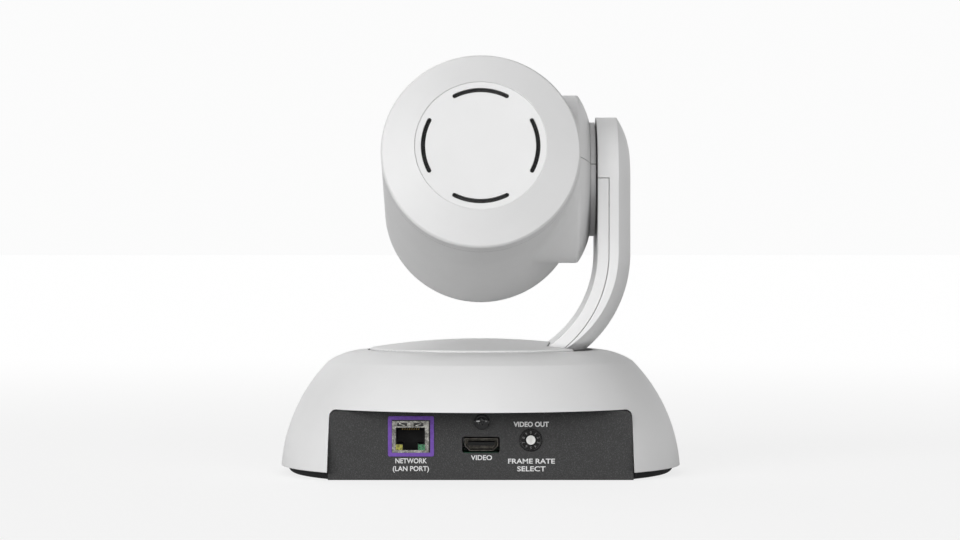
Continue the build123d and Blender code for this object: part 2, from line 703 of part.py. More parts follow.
# a bent strap over the motor, with a leg and a foot at each side
LEG_X = BRACKET_HALF - BRACKET_T / 2
TAB_X = BRACKET_HALF + BRACKET_TAB / 2 - BRACKET_T / 2
with BuildPart() as motor_bracket:
    with BuildSketch(Plane.XY.offset(PAN_MOTOR_TOP)):
        with Locations(PAN_MOTOR):
            Rectangle(2 * BRACKET_HALF, BRACKET_W)
            Circle(BOSS_R + 0.2, mode=Mode.SUBTRACT)
    extrude(amount=BRACKET_T)
    with BuildSketch(Plane.XY.offset(TRAY_TOP)):
        with Locations((LEG_X, -PAN_CENTRES), (-LEG_X, -PAN_CENTRES)):
            Rectangle(BRACKET_T, BRACKET_W)
    extrude(amount=PAN_MOTOR_TOP - TRAY_TOP)
    with BuildSketch(Plane.XY.offset(TRAY_TOP)):
        with Locations((TAB_X, -PAN_CENTRES), (-TAB_X, -PAN_CENTRES)):
            Rectangle(BRACKET_TAB, BRACKET_W)
    extrude(amount=BRACKET_T)
motor_bracket.part.label = "motor_bracket"

PINION_BOTTOM = PAN_GEAR_Z - 0.4
PINION_H = PAN_GEAR_H + 0.8
PINION_SHAFT_Z = BOSS_TOP - SHAFT_BORE + 0.4
with BuildPart() as pan_pinion:
    with BuildSketch(Plane(origin=(0, -PAN_CENTRES, PINION_BOTTOM))):
        with BuildLine():
            phase = 90 + 180 / PAN_PINION_TEETH
            Polyline(*gear_points(PAN_MODULE, PAN_PINION_TEETH, phase), close=True)
        make_face()
    extrude(amount=PINION_H)
    with BuildSketch(Plane(origin=(0, -PAN_CENTRES, PINION_SHAFT_Z))):
        Circle(MOTOR_SHAFT_R)
    extrude(amount=PINION_BOTTOM + PINION_H + 1.0 - PINION_SHAFT_Z)
pan_pinion.part.label = "pan_pinion"

# ---------------------------------------------------------------- turret
COVER_POSTS = [(24.0, 0.0), (-12.0, 20.8), (-12.0, -20.8)]


def crown_z(r):
    """Height of the turret cover's crown at radius r."""
    return TURRET_TOP - TURRET_CROWN_R + sqrt(TURRET_CROWN_R ** 2 - r ** 2)


ARM_SLOT = (27.0, 57.0)        # u where the cover is cut away for the arm
with BuildPart() as turret_cover:
    with BuildSketch(Plane.XZ):
        with BuildLine():
            edge_r = TURRET_R - TURRET_EDGE
            edge = (edge_r, crown_z(edge_r))
            side_top = (TURRET_R, edge[1] - TURRET_EDGE - 0.1)
            inner_r = TURRET_R - WALL
            inner = (inner_r, crown_z(inner_r) - WALL)
            ThreePointArc((0, TURRET_TOP), (edge_r / 2, crown_z(edge_r / 2)), edge)
            ThreePointArc(edge, (TURRET_R - 0.2, edge[1] - 0.3), side_top)
            Polyline(side_top, (TURRET_R, TURRET_SKIRT), (inner_r, TURRET_SKIRT), inner)
            ThreePointArc(inner, (inner_r / 2, crown_z(inner_r / 2) - WALL), (0, TURRET_TOP - WALL))
            Line((0, TURRET_TOP - WALL), (0, TURRET_TOP))
        make_face()
    revolve(axis=Axis.Z)
    with BuildSketch(Plane.XY.offset(PLATE_Z + PLATE_T)):
        with Locations(*COVER_POSTS):
            Circle(COVER_POST_R)
    extrude(amount=TURRET_TOP - WALL - PLATE_Z - PLATE_T - 0.3)
    with BuildSketch(Plane.XY.offset(PLATE_Z + PLATE_T)):
        with Locations(*COVER_POSTS):
            Circle(PILOT_R)
    extrude(amount=5.0, mode=Mode.SUBTRACT)
    with BuildSketch(rear_plane(-ARM_HALF - 0.4)):
        with Locations((sum(ARM_SLOT) / 2, TURRET_TOP - 4)):
            Rectangle(ARM_SLOT[1] - ARM_SLOT[0], 14)
        with Locations((ARM_IN - ARM_IN_BEND, ARM_BEND_Z)):
            Circle(ARM_IN_BEND - 0.4, mode=Mode.SUBTRACT)
    extrude(amount=2 * ARM_HALF + 0.8, mode=Mode.SUBTRACT)
turret_cover.part.label = "turret_cover"

with BuildPart() as turret_plate:
    with BuildSketch(Plane.XY.offset(PLATE_Z)):
        Circle(PLATE_R)
        Circle(CABLE_R, mode=Mode.SUBTRACT)
        with Locations(*COVER_POSTS):
            Circle(CLEAR_R, mode=Mode.SUBTRACT)
    extrude(amount=PLATE_T)
turret_plate.part.label = "turret_plate"

# ---------------------------------------------------------------- arm
BEND_OUT = (ARM_OUT - ARM_OUT_BEND, ARM_BEND_Z)      # (u, z) centre of the outer bend
BEND_IN = (ARM_IN - ARM_IN_BEND, ARM_BEND_Z)         # (u, z) centre of the inner bend
BEVEL = (ARM_HALF - ARM_FLAT, ARM_OUT - ARM_CREASE)  # width and depth of the rounded flank
BEVEL_R = (BEVEL[0] ** 2 + BEVEL[1] ** 2) / (2 * BEVEL[1])
ARM_SWEEP = 68                 # degrees turned by the bend before it is cut off at the foot


def arm_half_section(inset, inner):
    """Lines of one half of the arm's section: x is u, y is the distance from its middle plane."""
    half = ARM_HALF - inset
    out = ARM_OUT - inset
    radius = BEVEL_R - inset
    crease_u = out - radius + sqrt(radius ** 2 - (half - ARM_FLAT) ** 2)
    mid = ARM_FLAT + (half - ARM_FLAT) * 0.55
    mid_u = out - radius + sqrt(radius ** 2 - (mid - ARM_FLAT) ** 2)
    Line((inner, 0), (inner, half))
    Line((inner, half), (crease_u, half))
    ThreePointArc((crease_u, half), (mid_u, mid), (out, ARM_FLAT))
    Line((out, ARM_FLAT), (out, 0))
    Line((out, 0), (inner, 0))


def arm_form(inset):
    """The arm as a solid: round top, straight stretch and inward bend, drawn in by inset."""
    level, top = (Plane(origin=(0, 0, z), x_dir=(-1, 0, 0), z_dir=(0, 0, -1)) for z in (ARM_BEND_Z, TILT_Z))
    with BuildPart() as form:
        with BuildSketch(level) as straight:
            with BuildLine():
                arm_half_section(inset, ARM_IN + inset)
            make_face()
            mirror(about=Plane.XZ)
        extrude(amount=-(TILT_Z - ARM_BEND_Z))
        with BuildSketch(top):
            with BuildLine():
                arm_half_section(inset, ARM_IN + inset)
            make_face()
        revolve(axis=TILT_AXIS)
        with BuildSketch(level):
            with BuildLine():
                arm_half_section(inset, ARM_IN - 16)
            make_face()
            mirror(about=Plane.XZ)
        revolve(axis=Axis((-BEND_OUT[0], 0, ARM_BEND_Z), (0, -1, 0)), revolution_arc=ARM_SWEEP)
        with BuildSketch(rear_plane(-BEYOND / 2)):
            with Locations(BEND_IN):
                Circle(ARM_IN_BEND + inset)
        extrude(amount=BEYOND, mode=Mode.SUBTRACT)
        with BuildSketch(Plane.XY.offset(ARM_FOOT_Z - inset)):
            Rectangle(BEYOND, BEYOND)
        extrude(amount=-BEYOND, mode=Mode.SUBTRACT)
    return form.part


def cover_zone(grow):
    """The part of the arm that belongs to the inner cover, grown by grow."""
    with BuildPart() as zone:
        with BuildSketch(rear_plane(-BEYOND / 2)):
            with Locations(BEND_IN):
                Circle(ARM_IN_BEND + ARM_LIP + grow)
            with Locations((0, ARM_BEND_Z + BEYOND / 2)):
                Rectangle(2 * BEYOND, BEYOND, mode=Mode.SUBTRACT)
            with Locations(((ARM_IN + ARM_LIP + grow) / 2, (ARM_BEND_Z + TILT_Z + grow) / 2)):
                Rectangle(ARM_IN + ARM_LIP + grow, TILT_Z + grow - ARM_BEND_Z)
        extrude(amount=BEYOND)
    return zone.part


arm_solid = arm_form(0.0)
arm_hollow = arm_form(WALL)


def arm_piece(name, zone, mode):
    """One of the arm's two mouldings, with a hole round the tilt shaft."""
    with BuildPart() as piece:
        add(arm_solid)
        add(arm_hollow, mode=Mode.SUBTRACT)
        add(zone, mode=mode)
        with BuildSketch(side_plane(ARM_IN - 1)):
            Circle(TILT_SHAFT_R + 0.6)
        extrude(amount=WALL + 3, mode=Mode.SUBTRACT)
    piece.part.label = name
    return piece


arm_outer_shell = arm_piece("arm_outer_shell", cover_zone(PARTING / 2), Mode.SUBTRACT)
arm_inner_cover = arm_piece("arm_inner_cover", cover_zone(-PARTING / 2), Mode.INTERSECT)

STRIP_T = STRIP_OUT - STRIP_IN
STRIP_BOTTOM = 53.0
FRAME_U = BEND_OUT[0] + STRIP_IN
FRAME_SCREWS = [(-17, 14), (-17, -14), (-8, 14), (-8, -14)]
with BuildPart() as arm_frame:
    with BuildSketch(rear_plane(-STRIP_W / 2)):
        with Locations(BEND_OUT):
            Circle(STRIP_OUT)
            Circle(STRIP_IN, mode=Mode.SUBTRACT)
        with Locations((BEND_OUT[0] + 40, (STRIP_BOTTOM + ARM_BEND_Z) / 2)):
            Rectangle(80, ARM_BEND_Z - STRIP_BOTTOM, mode=Mode.INTERSECT)
        with Locations((FRAME_U + STRIP_T / 2, (ARM_BEND_Z + TILT_Z) / 2)):
            Rectangle(STRIP_T, TILT_Z - ARM_BEND_Z + 0.5)
        with Locations((FRAME_FOOT[1], PLATE_Z + PLATE_T + STRIP_T / 2)):
            Rectangle(FRAME_FOOT[0], STRIP_T)
    extrude(amount=STRIP_W)
    with BuildSketch(side_plane(FRAME_U)):
        Circle(FRAME_DISC_R)
    extrude(amount=STRIP_T)
    with BuildSketch(side_plane(FRAME_U - STRIP_T)):
        Circle(FRAME_HUB_R)
    extrude(amount=2 * STRIP_T)
    with BuildSketch(side_plane(FRAME_U - STRIP_T)):
        Circle(TILT_SHAFT_R)
    extrude(amount=2 * STRIP_T, mode=Mode.SUBTRACT)
    with BuildSketch(Plane.XY.offset(PLATE_Z + PLATE_T)):
        with Locations(*FRAME_SCREWS):
            Circle(CLEAR_R)
        with Locations(*COVER_POSTS):
            Circle(COVER_POST_R + 0.4)
    extrude(amount=STRIP_T + 1, mode=Mode.SUBTRACT)
arm_frame.part.label = "arm_frame"

frame_screws = screw_group("frame_screws", FRAME_SCREWS,
                           Plane.XY.offset(PLATE_Z + PLATE_T + STRIP_T), SMALL_SCREW, 2.9)
cover_screws = screw_group("cover_screws", [(x, -y) for x, y in COVER_POSTS],
                           downward(PLATE_Z), SMALL_SCREW, 7.0)
with BuildPart() as turret_screws:
    add(frame_screws.part)
    add(cover_screws.part)
turret_screws.part.label = "turret_screws"

with BuildPart() as tilt_shaft:
    with BuildSketch(side_plane(TILT_SHAFT_END)):
        Circle(TILT_SHAFT_R)
        Circle(TILT_CABLE_R, mode=Mode.SUBTRACT)
    extrude(amount=FRAME_U + STRIP_T - TILT_SHAFT_END)
tilt_shaft.part.label = "tilt_shaft"

HUB_START = COLLAR_END + 0.3
with BuildPart() as tilt_hub:
    with BuildSketch(side_plane(HUB_START)):
        Circle(HUB_R)
        Circle(TILT_SHAFT_R, mode=Mode.SUBTRACT)
    extrude(amount=ARM_IN - HUB_START)
tilt_hub.part.label = "tilt_hub"

with BuildPart() as tilt_gear:
    with BuildSketch(side_plane(TILT_GEAR_U)):
        with BuildLine():
            Polyline(*gear_points(TILT_MODULE, TILT_TEETH, 225), close=True)
        make_face()
        Circle(TILT_SHAFT_R, mode=Mode.SUBTRACT)
    extrude(amount=TILT_GEAR_W)
tilt_gear.part.label = "tilt_gear"

# ---------------------------------------------------------------- camera head
CHASSIS_FLOOR = 30.0           # underside of the chassis floor below the head's axis
CHASSIS_T = 2.4
CHASSIS_BACK = 24.0            # half length of the chassis
BOSS_OUTER_R = 3.4
BOSSES = [(20.0, -18.0), (20.0, 18.0), (-16.0, -18.0), (-16.0, 18.0)]    # (u, s)


def barrel_form(inset, front, rear):
    """The barrel as a solid, drawn in by inset."""
    with BuildPart() as form:
        with BuildSketch(HEAD_PROFILE):
            with BuildLine():
                Polyline((front, 0), (front, BARREL_FRONT_R - inset), (rear, BARREL_REAR_R - inset),
                         (rear, 0), close=True)
            make_face()
        revolve(axis=HEAD_AXIS)
    return form.part


def drum_form(inset):
    """The drum round the tilt axis on the arm side and the collar on its end, drawn in by inset."""
    rim = (DRUM_EDGE - inset * 0.6, DRUM_R - inset)
    middle = (DRUM_MID[0] - inset * 0.9, DRUM_MID[1] - inset * 0.5)
    foot = (DRUM_END - inset, COLLAR_R - inset)
    with BuildPart() as form:
        with BuildSketch(TILT_PROFILE) as profile:
            with BuildLine():
                Polyline((COLLAR_END - inset, 0), (0, 0), (0, DRUM_R - inset), rim)
                ThreePointArc(rim, middle, foot)
                Polyline(foot, (COLLAR_END - inset, COLLAR_R - inset), (COLLAR_END - inset, 0))
            make_face()
            fillet(profile.vertices().sort_by_distance(rim)[0], DRUM_CORNER_R)
        revolve(axis=TILT_AXIS)
    return form.part


with BuildPart() as casing_outside:
    add(barrel_form(0.0, BARREL_FRONT, BARREL_REAR))
    add(drum_form(0.0))
    fillet(casing_outside.edges().filter_by(GeomType.BSPLINE), BLEND_R)

with BuildPart() as casing_inside:
    add(barrel_form(WALL, BARREL_FRONT - 5, BARREL_REAR + 5))
    add(drum_form(WALL))


def half_casing(sign):
    """One half of the head's casing: sign 1 is the upper half and -1 the lower half."""
    half = half_side(sign)
    with BuildPart() as shell:
        add(casing_outside.part)
        add(casing_inside.part, mode=Mode.SUBTRACT)
        add(half, mode=Mode.INTERSECT)
        with BuildSketch(side_plane(COLLAR_END - WALL - 1)):
            Circle(TILT_SHAFT_R + 1.0)
        extrude(amount=WALL + 3, mode=Mode.SUBTRACT)
    return shell.part


with BuildPart() as head_upper_shell:
    add(half_casing(1))
head_upper_shell.part.label = "head_upper_shell"

# bosses under the chassis floor, square to the head's axis and inside the casing
BOSS_PLANE = Plane(origin=TILT_CENTRE - HEAD_UP * CHASSIS_FLOOR, x_dir=(-1, 0, 0), z_dir=-HEAD_UP)
with BuildPart() as head_bosses:
    with BuildSketch(BOSS_PLANE):
        with Locations(*BOSSES):
            Circle(BOSS_OUTER_R)
    extrude(amount=BARREL_FRONT_R - CHASSIS_FLOOR)
    add(casing_outside.part, mode=Mode.INTERSECT)
    with BuildSketch(BOSS_PLANE):
        with Locations(*BOSSES):
            Circle(PILOT_R)
    extrude(amount=5.2, mode=Mode.SUBTRACT)

with BuildPart() as head_lower_shell:
    add(half_casing(-1))
    add(head_bosses.part)
head_lower_shell.part.label = "head_lower_shell"

CHASSIS_TOP = Plane(origin=TILT_CENTRE - HEAD_UP * (CHASSIS_FLOOR - CHASSIS_T),
                    x_dir=(1, 0, 0), z_dir=HEAD_UP)
head_screws = screw_group("head_screws", [(-u, s) for u, s in BOSSES], CHASSIS_TOP, SMALL_SCREW, 7.0)

SLOT_R = 25.2                  # pitch radius of the four vent slots
SLOT_SPAN = 54.0
SLOT_W = 1.9
CAP_STEP = 0.4                 # the flat face is set in by this
CAP_WALL = 2.25
SPIGOT_R = 39.9                # spigot that goes into the barrel
SPIGOT_S = 35.5
with BuildPart() as rear_cap:
    with BuildSketch(HEAD_PROFILE):
        with BuildLine():
            face_s = CAP_FACE - CAP_STEP
            wall_in = BARREL_REAR_R - CAP_WALL
            Polyline((BARREL_REAR + PARTING, BARREL_REAR_R), (CAP_EDGE - 0.8, BARREL_REAR_R),
                     (CAP_EDGE + 0.4, BARREL_REAR_R - 0.7), (CAP_FACE, CAP_FACE_R),
                     (face_s, CAP_FACE_R - 0.1), (face_s, 0), (face_s - WALL, 0),
                     (face_s - WALL, CAP_FACE_R - 1.2), (CAP_EDGE - 1.2, wall_in),
                     (CAP_EDGE - 4, SPIGOT_R), (SPIGOT_S, SPIGOT_R), (SPIGOT_S, wall_in),
                     (BARREL_REAR + PARTING, wall_in), close=True)
        make_face()
    revolve(axis=HEAD_AXIS)
    with BuildSketch(head_plane(face_s - WALL - 1)):
        Circle(SLOT_R + SLOT_W / 2)
        Circle(SLOT_R - SLOT_W / 2, mode=Mode.SUBTRACT)
        for k in range(4):
            bridge = [radians(90 * k + SLOT_SPAN / 2), radians(90 * (k + 1) - SLOT_SPAN / 2)]
            spokes = [(2 * SLOT_R * cos(a), 2 * SLOT_R * sin(a)) for a in bridge]
            Polygon((0, 0), *spokes, align=None, mode=Mode.SUBTRACT)
        for end in (-SLOT_SPAN / 2, SLOT_SPAN / 2):
            with PolarLocations(SLOT_R, 4, end):
                Circle(SLOT_W / 2)
    extrude(amount=WALL + 2, mode=Mode.SUBTRACT)
rear_cap.part.label = "rear_cap"

with BuildPart() as vent_baffle:
    with BuildSketch(head_plane(CAP_FACE - CAP_STEP - WALL - 0.8)):
        Circle(CAP_FACE_R - 1.4)
        Circle(20.0, mode=Mode.SUBTRACT)
    extrude(amount=0.8)
vent_baffle.part.label = "vent_baffle"

BEZEL_FRONT = BARREL_FRONT - 2.7
BEZEL_R = 1.1                  # rounding of the bezel's rim
BEZEL_MOUTH_R = 37.2
BEZEL_SEAT_R = 38.6            # seat of the front window
BEZEL_BACK = -45.0
WINDOW_T = 2.0
WINDOW_FRONT = -50.6
with BuildPart() as front_bezel:
    with BuildSketch(HEAD_PROFILE):
        with BuildLine():
            r = BARREL_FRONT_R
            back = BARREL_FRONT - PARTING
            rim = (BEZEL_FRONT + BEZEL_R, r)
            nose = (BEZEL_FRONT, r - BEZEL_R)
            middle = (BEZEL_FRONT + BEZEL_R * (1 - sin(pi / 4)), r - BEZEL_R * (1 - sin(pi / 4)))
            Line((back, r), rim)
            ThreePointArc(rim, middle, nose)
            Polyline(nose, (BEZEL_FRONT, r - 3.6), (WINDOW_FRONT - 0.4, BEZEL_MOUTH_R),
                     (WINDOW_FRONT, BEZEL_MOUTH_R), (WINDOW_FRONT, BEZEL_SEAT_R),
                     (BEZEL_BACK, BEZEL_SEAT_R), (BEZEL_BACK, r - 2.3), (back, r - 2.3), (back, r))
        make_face()
    revolve(axis=HEAD_AXIS)
front_bezel.part.label = "front_bezel"

with BuildPart() as front_window:
    with BuildSketch(head_plane(WINDOW_FRONT)):
        Circle(BEZEL_SEAT_R - 0.1)
    extrude(amount=WINDOW_T)
front_window.part.label = "front_window"

MASK_FRONT = WINDOW_FRONT + WINDOW_T
MASK_BACK = -44.6
with BuildPart() as lens_mask:
    with BuildSketch(HEAD_PROFILE):
        with BuildLine():
            outer_r = BEZEL_SEAT_R - 0.2
            Polyline((MASK_FRONT, outer_r), (MASK_FRONT, outer_r - 1.8), (MASK_BACK - 1.8, 22.5),
                     (MASK_BACK - 1.8, LENS_BORE + 0.1), (MASK_BACK, LENS_BORE + 0.1),
                     (MASK_BACK, 23.4), (MASK_FRONT + 1.8, outer_r), close=True)
        make_face()
    revolve(axis=HEAD_AXIS)
lens_mask.part.label = "lens_mask"

# ---------------------------------------------------------------- optics and inner parts of the head
with BuildPart() as lens_barrel:
    with BuildSketch(HEAD_PROFILE):
        with BuildLine():
            back = SENSOR_S - 2.0
            Polyline((LENS_FRONT, LENS_BORE), (LENS_FRONT, LENS_R), (SENSOR_S, LENS_R), (SENSOR_S, 10),
                     (back, 10), (back, LENS_BORE), (STOP_S + STOP_T, LENS_BORE),
                     (STOP_S + STOP_T, STOP_R), (STOP_S, STOP_R), (STOP_S, LENS_BORE), close=True)
        make_face()
    revolve(axis=HEAD_AXIS)
lens_barrel.part.label = "lens_barrel"


with BuildPart() as guide_rods:
    with BuildSketch(head_plane(STOP_S + STOP_T)):
        with PolarLocations(ROD_OFFSET, 2, 90):
            Circle(ROD_R)
    extrude(amount=SENSOR_S - 2.0 - STOP_S - STOP_T)
guide_rods.part.label = "guide_rods"


def sphere_radius(half_width, rise):
    """Radius of the sphere whose cap has this half width and rise."""
    return (half_width ** 2 + rise ** 2) / (2 * rise)


def sagitta(half_width, radius):
    """Rise of a spherical cap of this half width."""
    return radius - sqrt(radius ** 2 - half_width ** 2)


def lens_cell(name, start, length, bore):
    """A ring that carries a lens group and slides on the guide rods."""
    with BuildPart() as cell:
        with BuildSketch(head_plane(start)):
            Circle(LENS_BORE - 0.35)
            Circle(bore, mode=Mode.SUBTRACT)
            with PolarLocations(ROD_OFFSET, 2, 90):
                Circle(ROD_R + RUN, mode=Mode.SUBTRACT)
        extrude(amount=length)
    cell.part.label = name
    return cell


def lens_disc(name, start, length, radius, front_bulge, rear_bulge):
    """A biconvex lens with a flat rim, start and length measured over the rim."""
    front = start - front_bulge
    rear = start + length + rear_bulge
    front_mid = front + sagitta(radius / 2, sphere_radius(radius, front_bulge))
    rear_mid = rear - sagitta(radius / 2, sphere_radius(radius, rear_bulge))
    with BuildPart() as lens:
        with BuildSketch(HEAD_PROFILE):
            with BuildLine():
                ThreePointArc((front, 0), (front_mid, radius / 2), (start, radius))
                Line((start, radius), (start + length, radius))
                ThreePointArc((start + length, radius), (rear_mid, radius / 2), (rear, 0))
                Line((rear, 0), (front, 0))
            make_face()
        revolve(axis=HEAD_AXIS)
    lens.part.label = name
    return lens


front_lens = lens_disc("front_lens", -39.0, 3.4, LENS_BORE - 0.1, 4.4, 1.4)
zoom_cell = lens_cell("zoom_cell", -28.0, 7.0, 14.0)
zoom_lens = lens_disc("zoom_lens", -26.5, 4.0, 14.0, 1.6, 1.6)
focus_cell = lens_cell("focus_cell", 4.0, 5.0, 12.0)
focus_lens = lens_disc("focus_lens", 5.0, 3.0, 12.0, 1.2, 1.2)

BOARD_T = 1.6
SPACER_L = 8.0
SPACER_TOP = SENSOR_S + BOARD_T + SPACER_L
with BuildPart() as sensor_board:
    with BuildSketch(head_plane(SENSOR_S)):
        Rectangle(36, 36)
    extrude(amount=BOARD_T)
    with BuildSketch(head_plane(SENSOR_S)):
        Rectangle(12, 9)
    extrude(amount=-1.6)
sensor_board.part.label = "sensor_board"

with BuildPart() as board_spacers:
    with BuildSketch(head_plane(SENSOR_S + BOARD_T)):
        with GridLocations(30, 30, 2, 2):
            Circle(2.0)
    extrude(amount=SPACER_L)
board_spacers.part.label = "board_spacers"

with BuildPart() as video_board:
    with BuildSketch(head_plane(SPACER_TOP)):
        RectangleRounded(52, 46, 2)
    extrude(amount=BOARD_T)
    with BuildSketch(head_plane(SPACER_TOP + BOARD_T)):
        with Locations((-8, 4), (14, -10)):
            Rectangle(12, 12)
    extrude(amount=CHIP_T)
video_board.part.label = "video_board"

# floor, side wall with the tilt bearing's housing, and a cradle under the lens barrel
HOUSING_LENGTH = TILT_HOUSING[1] - TILT_HOUSING[0]
CHASSIS_SIDE = 26.5            # u at the middle of the side wall
with BuildPart() as head_chassis:
    with BuildSketch(head_plane(-CHASSIS_BACK)):
        with Locations((2, -CHASSIS_FLOOR + CHASSIS_T / 2)):
            Rectangle(48, CHASSIS_T)
        with Locations((CHASSIS_SIDE, -8)):
            Rectangle(3.0, 44)
        with Locations((0, -24)):
            Rectangle(22, 8)
    extrude(amount=2 * CHASSIS_BACK)
    with BuildSketch(side_plane(TILT_HOUSING[0])):
        Circle(TILT_HOUSING_R)
    extrude(amount=HOUSING_LENGTH)
    with BuildSketch(side_plane(TILT_HOUSING[0])):
        Circle(TILT_BUSH_R)
    extrude(amount=HOUSING_LENGTH, mode=Mode.SUBTRACT)
    with BuildSketch(head_plane(-CHASSIS_BACK)):
        Circle(LENS_R)
    extrude(amount=2 * CHASSIS_BACK, mode=Mode.SUBTRACT)
    with BuildSketch(head_plane(SENSOR_S)):
        with Locations((0, 10)):
            Rectangle(38, 70)
    extrude(amount=BOARD_T + SPACER_L, mode=Mode.SUBTRACT)
    with BuildSketch(BOSS_PLANE):
        with Locations(*BOSSES):
            Circle(CLEAR_R)
    extrude(amount=-10, mode=Mode.SUBTRACT)
head_chassis.part.label = "head_chassis"

BUSH_START = TILT_SHAFT_END + 0.4
with BuildPart() as tilt_bush:
    with BuildSketch(side_plane(BUSH_START)):
        Circle(TILT_BUSH_R)
        Circle(TILT_SHAFT_R + RUN, mode=Mode.SUBTRACT)
    extrude(amount=TILT_HOUSING[1] - BUSH_START)
tilt_bush.part.label = "tilt_bush"

MOTOR_SIDE = (-TILT_CENTRES * cos(radians(45)), -TILT_CENTRES * sin(radians(45)))
with BuildPart() as tilt_motor:
    with BuildSketch(side_plane(TILT_MOTOR[0])):
        with Locations(MOTOR_SIDE):
            Circle(TILT_MOTOR_R)
    extrude(amount=TILT_MOTOR[1] - TILT_MOTOR[0])
    with BuildSketch(side_plane(TILT_MOTOR[1])):
        with Locations(MOTOR_SIDE):
            Circle(TILT_MOTOR_SHAFT_R + RUN)
    extrude(amount=-9.0, mode=Mode.SUBTRACT)
tilt_motor.part.label = "tilt_motor"

GEAR_PLANE = side_plane(TILT_GEAR_U)
PINION_PLANE = GEAR_PLANE.shift_origin(GEAR_PLANE.from_local_coords(MOTOR_SIDE + (0,)))
TILT_PINION_SHAFT = 31.0       # u where the motor's shaft begins
with BuildPart() as tilt_pinion:
    with BuildSketch(PINION_PLANE):
        with BuildLine():
            phase = 45 + 180 / TILT_PINION_TEETH
            Polyline(*gear_points(TILT_MODULE, TILT_PINION_TEETH, phase), close=True)
        make_face()
    extrude(amount=TILT_GEAR_W)
    with BuildSketch(side_plane(TILT_PINION_SHAFT)):
        with Locations(MOTOR_SIDE):
            Circle(TILT_MOTOR_SHAFT_R)
    extrude(amount=TILT_GEAR_U + TILT_GEAR_W + 0.3 - TILT_PINION_SHAFT)
tilt_pinion.part.label = "tilt_pinion"

# ---------------------------------------------------------------- one file for each piece
PIECES = [
    base_shell, status_window, base_plate, rubber_feet, base_screws, tripod_insert,
    connector_panel, port_frame, panel_screws, network_jack_shield, network_jack_insert,
    network_jack_contacts, link_lamp, activity_lamp, video_socket_shell, video_socket_tongue,
    mode_switch_body, mode_dial, main_board, processor_heatsink, board_standoffs, chassis_screws,
    bearing_housing, pan_bush, pan_shaft, pan_gear, pan_motor, motor_bracket, pan_pinion,
    turret_cover, turret_plate, turret_screws, arm_outer_shell, arm_inner_cover, arm_frame,
    tilt_shaft, tilt_hub, tilt_gear, head_upper_shell, head_lower_shell, head_screws, rear_cap,
    vent_baffle, front_bezel, front_window, lens_mask, lens_barrel, front_lens, guide_rods,
    zoom_cell, zoom_lens, focus_cell, focus_lens, sensor_board, board_spacers, video_board,
    head_chassis, tilt_bush, tilt_motor, tilt_pinion,
]

os.makedirs("parts", exist_ok=True)
for piece in PIECES:
    export_step(piece.part, f"parts/{piece.part.label}.step")
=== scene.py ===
import json
import math

import bmesh
import bpy
from mathutils import Matrix, Vector


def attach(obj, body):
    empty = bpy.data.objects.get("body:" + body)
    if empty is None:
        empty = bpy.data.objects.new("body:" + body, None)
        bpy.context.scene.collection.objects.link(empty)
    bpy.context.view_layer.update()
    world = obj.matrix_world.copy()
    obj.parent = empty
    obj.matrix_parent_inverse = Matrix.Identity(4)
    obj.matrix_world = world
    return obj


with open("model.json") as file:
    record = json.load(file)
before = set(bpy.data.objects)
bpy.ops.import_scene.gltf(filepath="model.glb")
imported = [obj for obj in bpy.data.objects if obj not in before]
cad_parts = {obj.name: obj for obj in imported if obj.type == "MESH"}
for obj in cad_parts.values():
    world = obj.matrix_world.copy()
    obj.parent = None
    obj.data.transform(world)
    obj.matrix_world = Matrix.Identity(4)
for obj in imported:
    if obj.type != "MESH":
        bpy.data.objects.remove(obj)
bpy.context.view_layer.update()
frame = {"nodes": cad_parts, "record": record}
MM = 0.001

# ---------------------------------------------------------------- camera, lights and floor
CAMERA_X = 0.0003
CAMERA_Y = 1.425               # metres behind the pan axis
CAMERA_Z = 0.1006
CAMERA_DIP = 0.366             # degrees below level
SENSOR_WIDTH = 36.0
FOCAL_LENGTH = 117.6

SUN_SPREAD = 44                # degrees across; wide enough for soft shadows
SUNS = [                       # name, where it shines from, strength
    ("key", (1.25, 1.70, 0.46), 2.15),
    ("fill", (-0.9, 1.9, 0.34), 0.95),
    ("front", (0.5, -1.7, 1.2), 0.45),
]

FLOOR_REACH = 60.0
FLOOR_GREY = 0.22
# The floor glows less beside the object than far from it: a painted shadow round the object.
GLOW_NEAR = 0.78               # the floor's own light beside the object and far from it
GLOW_FAR = 0.88
GLOW_START = 0.15              # metres from the pan axis over which one turns into the other
GLOW_END = 1.6
CAST = 0.24                    # share of that glow that lights the object

HORIZON = 0.97                 # the sky's strength level with the eye and overhead
CEILING = 0.18
FALL_START = 0.10              # height in the sky over which one turns into the other
FALL_END = 0.45


def aim(obj, target):
    """Turns an object so that its -Z axis points at the target."""
    direction = Vector(target) - obj.location
    obj.rotation_euler = direction.to_track_quat("-Z", "Y").to_euler()


def make_camera():
    """A long lens a little over half the object's height, straight behind the connector panel."""
    cam = bpy.data.objects.new("camera", bpy.data.cameras.new("camera"))
    cam.data.sensor_width = SENSOR_WIDTH
    cam.data.lens = FOCAL_LENGTH
    cam.location = (CAMERA_X, CAMERA_Y, CAMERA_Z)
    aim(cam, (CAMERA_X, 0.0, CAMERA_Z - CAMERA_Y * math.tan(math.radians(CAMERA_DIP))))
    bpy.context.scene.collection.objects.link(cam)
    bpy.context.scene.camera = cam


def make_light(name, direction, strength):
    """A distant sun lamp, spread wide so that it is soft, shining from the given direction."""
    light = bpy.data.objects.new(name, bpy.data.lights.new(name, "SUN"))
    light.data.energy = strength
    light.data.angle = math.radians(SUN_SPREAD)
    light.location = direction
    aim(light, (0, 0, 0))
    bpy.context.scene.collection.objects.link(light)


